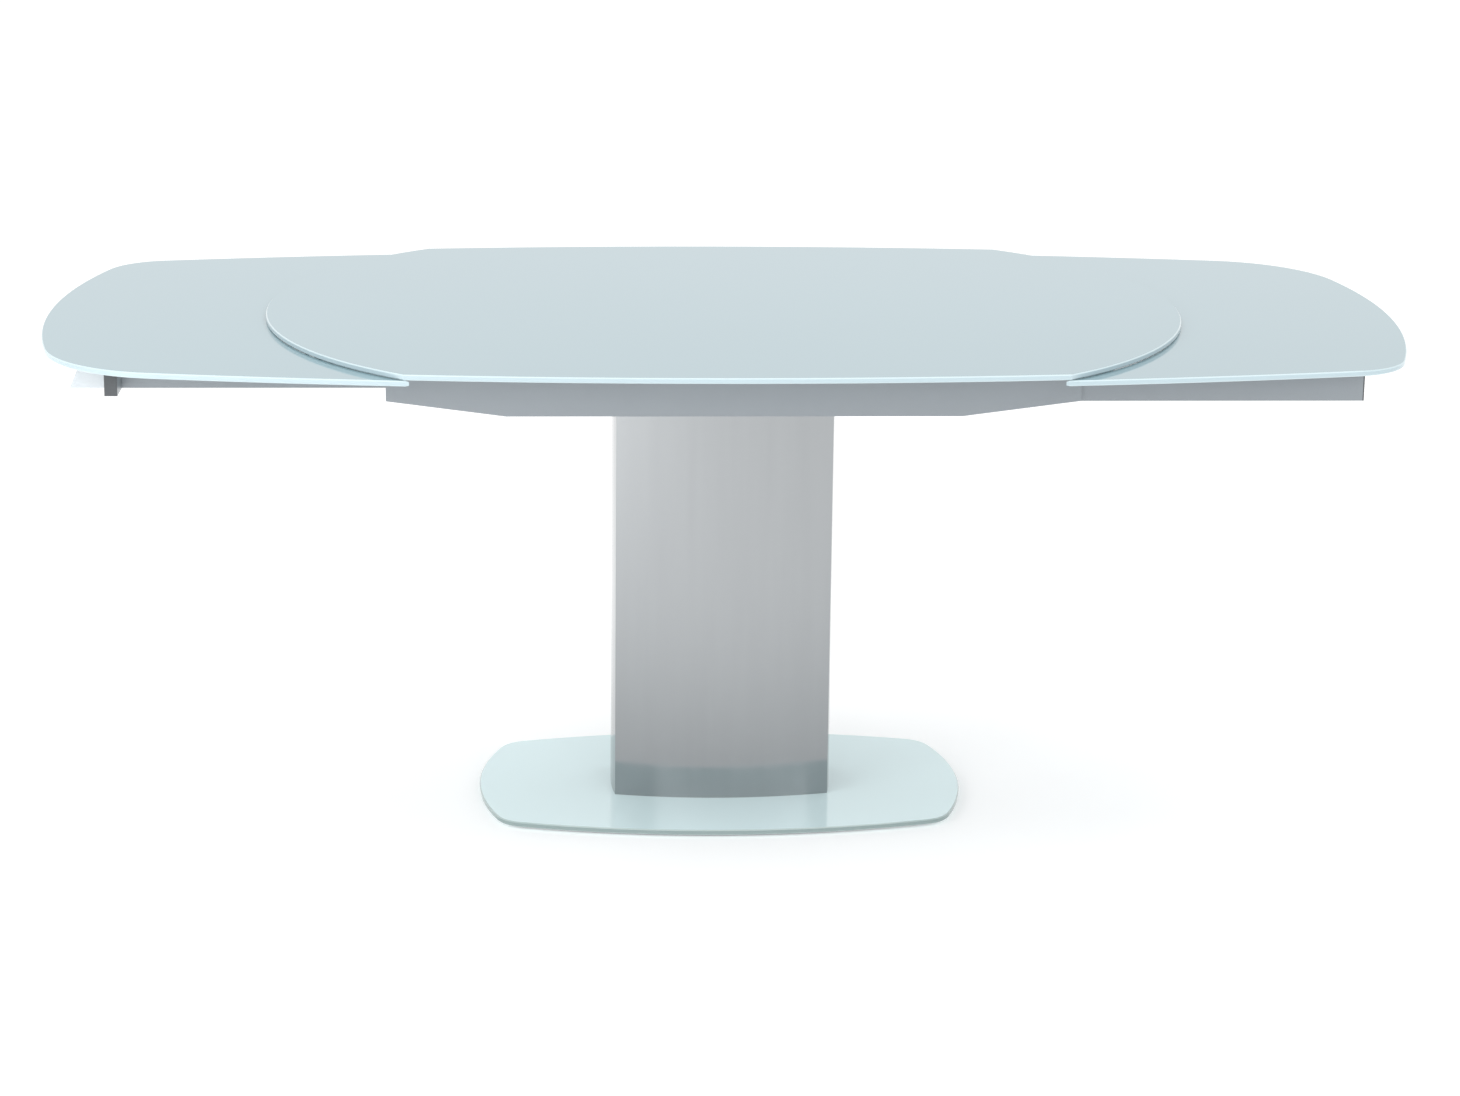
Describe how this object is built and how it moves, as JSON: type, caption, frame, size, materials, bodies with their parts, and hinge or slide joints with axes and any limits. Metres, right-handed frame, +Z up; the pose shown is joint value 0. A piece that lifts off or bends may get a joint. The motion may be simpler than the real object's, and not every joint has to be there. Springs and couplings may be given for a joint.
{
  "type": "extendable dining table",
  "caption": "Extendable dining table: bowed glass top on a polished central column and glass base, with end leaves that slide in under the middle panel.",
  "frame": {"origin": "on the floor under the middle of the table", "axes": "+X along the table towards the right leaf, +Y towards the back, +Z up"},
  "size_m": [2, 0.92, 0.76],
  "materials": {
    "lacquered_glass": "gloss, lacquered on the back",
    "base_glass": "gloss, lacquered on the back",
    "polished_steel": "mirror polished",
    "satin_paint": "satin silver",
    "bracket_paint": "pale satin silver",
    "frame_steel": "matt grey",
    "guide_aluminium": "plain",
    "nylon": "matt",
    "rubber": "matt",
    "bolt_steel": "zinc plated"
  },
  "bodies": {
    "table": {"apron_brackets": "satin_paint", "back_apron": "satin_paint", "back_guide_base": "guide_aluminium", "back_guide_cap": "guide_aluminium", "back_guide_lip": "guide_aluminium", "back_guide_tube": "guide_aluminium", "base_ballast_plate": "frame_steel", "base_bolt_sleeves": "nylon", "base_glass": "base_glass", "column_shell": "polished_steel", "cross_member_bolts": "bolt_steel", "floor_pads": "rubber", "foot_bolts": "bolt_steel", "foot_flange": "frame_steel", "foot_gasket": "rubber", "front_apron": "satin_paint", "front_guide_base": "guide_aluminium", "front_guide_cap": "guide_aluminium", "front_guide_lip": "guide_aluminium", "front_guide_tube": "guide_aluminium", "guide_end_buffers": "rubber", "guide_glides": "nylon", "head_bolts": "bolt_steel", "head_flange": "frame_steel", "head_plate": "frame_steel", "inner_post": "frame_steel", "left_cross_member": "frame_steel", "left_riser_beam": "frame_steel", "middle_glass": "lacquered_glass", "middle_glass_discs": "frame_steel", "right_cross_member": "frame_steel", "right_riser_beam": "frame_steel", "shell_spacers": "nylon", "top_plate": "frame_steel", "travel_stop_tabs": "frame_steel"},
    "left_leaf": {"left_leaf_glass": "lacquered_glass", "left_leaf_outer_rail": "satin_paint", "left_leaf_inner_rail": "satin_paint", "left_leaf_end_bar": "satin_paint", "left_leaf_bracket": "bracket_paint", "left_leaf_tube_caps": "nylon", "left_leaf_glass_pads": "rubber", "left_leaf_stop_block": "nylon"},
    "right_leaf": {"right_leaf_glass": "lacquered_glass", "right_leaf_outer_rail": "satin_paint", "right_leaf_inner_rail": "satin_paint", "right_leaf_end_bar": "satin_paint", "right_leaf_bracket": "bracket_paint", "right_leaf_tube_caps": "nylon", "right_leaf_glass_pads": "rubber", "right_leaf_stop_block": "nylon"}
  },
  "joints": [
    {"name": "left_leaf_slide", "type": "slide", "parent": "table", "child": "left_leaf", "axis": [-1, 0, 0], "range_m": [-0.405, 0]},
    {"name": "right_leaf_slide", "type": "slide", "parent": "table", "child": "right_leaf", "axis": [1, 0, 0], "range_m": [-0.405, 0]}
  ]
}
